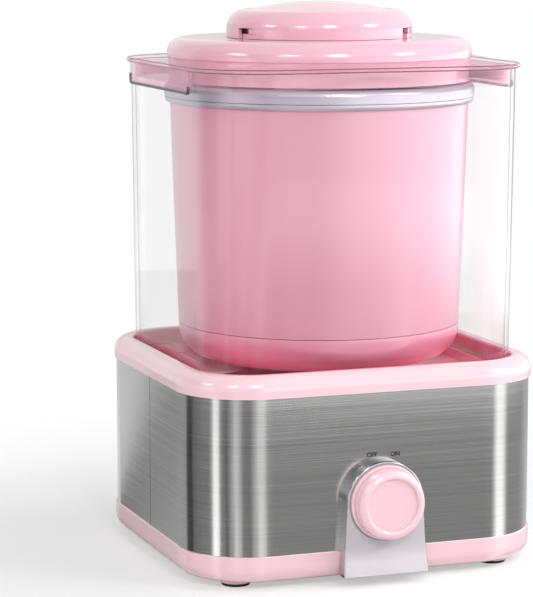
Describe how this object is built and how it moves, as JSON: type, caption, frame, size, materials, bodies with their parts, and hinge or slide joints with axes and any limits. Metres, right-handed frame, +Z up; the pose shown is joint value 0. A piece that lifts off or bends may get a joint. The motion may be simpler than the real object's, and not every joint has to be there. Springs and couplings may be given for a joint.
{
  "type": "ice cream maker",
  "caption": "Countertop ice cream maker with a brushed steel base, a motor-turned cold canister, a clear cover, and a domed pink lid with a twist-off ingredient cap.",
  "frame": {"origin": "bottom centre of the whole object, on the plane of the feet", "axes": "+Z up along the canister's axis, -Y to the front where the knob is, +X to the right seen from the front"},
  "size_m": [0.2274, 0.2314, 0.3421],
  "materials": {
    "pink_gloss": "glossy pale pink moulded plastic",
    "canister_pink": "satin pale pink moulded plastic",
    "brushed_steel": "horizontally brushed stainless sheet",
    "silver": "smooth silver plate with bright edges",
    "clear": "clear moulded acrylic",
    "bowl_metal": "drawn aluminium with a rolled rim",
    "foot_rubber": "black rubber",
    "white_plastic": "white moulded plastic",
    "dark_plastic": "dark moulded plastic",
    "gel": "cold-storing gel",
    "plain_steel": "plain turned steel",
    "bronze": "sintered bronze",
    "copper": "copper winding",
    "magnet": "ferrite"
  },
  "bodies": {
    "base": {"base_tray": "pink_gloss", "rubber_feet": "foot_rubber", "base_screws": "plain_steel", "steel_front_wrap": "brushed_steel", "steel_rear_wrap": "brushed_steel", "seam_rivets": "plain_steel", "top_deck": "pink_gloss", "cord_gland": "dark_plastic", "control_plate": "silver", "plate_screws": "plain_steel", "rotary_switch": "dark_plastic", "switch_nut": "plain_steel", "gearbox_housing": "dark_plastic", "gearbox_cover": "dark_plastic", "gearbox_screws": "plain_steel", "idler_pin": "plain_steel", "lower_bush": "bronze", "upper_bush": "bronze", "thrust_washer": "plain_steel", "shaft_seal": "foot_rubber", "motor_can": "plain_steel", "motor_end_plate": "plain_steel", "motor_coil": "copper", "motor_bushes": "bronze", "motor_screws": "plain_steel", "supply_lead": "dark_plastic", "motor_lead": "dark_plastic", "clear_cover": "clear"},
    "knob": {"control_knob": "pink_gloss", "knob_shaft": "plain_steel"},
    "canister": {"output_gear": "white_plastic", "drive_shaft": "plain_steel", "shaft_circlip": "plain_steel", "drive_coupling": "white_plastic", "drive_socket": "white_plastic", "canister_bottom_cap": "canister_pink", "canister_shell": "canister_pink", "freezing_gel": "gel", "inner_bowl": "bowl_metal", "rim_clamp_ring": "bowl_metal", "rim_gasket": "foot_rubber"},
    "idler": {"idler_gear": "white_plastic"},
    "rotor": {"motor_rotor": "magnet", "motor_shaft": "plain_steel"},
    "lid": {"clear_lid": "clear", "lid_dome": "pink_gloss", "paddle": "white_plastic"},
    "cap": {"ingredient_cap": "pink_gloss"}
  },
  "joints": [
    {"name": "knob_turn", "type": "hinge", "parent": "base", "child": "knob", "pos_m": [0, -0.10285, 0.0501], "axis": [0, 1, 0], "range_deg": [0, 30]},
    {"name": "canister_turn", "type": "hinge", "parent": "base", "child": "canister", "pos_m": [0, 0.00915, 0.14], "axis": [0, 0, 1], "continuous": true},
    {"name": "idler_turn", "type": "hinge", "parent": "base", "child": "idler", "pos_m": [-0.02519, 0.03434, 0.076], "axis": [0, 0, 1], "continuous": true},
    {"name": "rotor_turn", "type": "hinge", "parent": "base", "child": "rotor", "pos_m": [-0.00398, 0.05555, 0.035], "axis": [0, 0, 1], "continuous": true},
    {"name": "lid_lift", "type": "slide", "parent": "base", "child": "lid", "axis": [0, 0, 1], "range_m": [0, 0.2]},
    {"name": "cap_twist", "type": "hinge", "parent": "lid", "child": "cap", "pos_m": [0, 0.00915, 0.3202], "axis": [0, 0, 1], "range_deg": [0, 8.9]}
  ],
  "couplings": [
    {"joint": "idler_turn", "follows": "canister_turn", "ratio": -3.75},
    {"joint": "rotor_turn", "follows": "canister_turn", "ratio": 15}
  ]
}
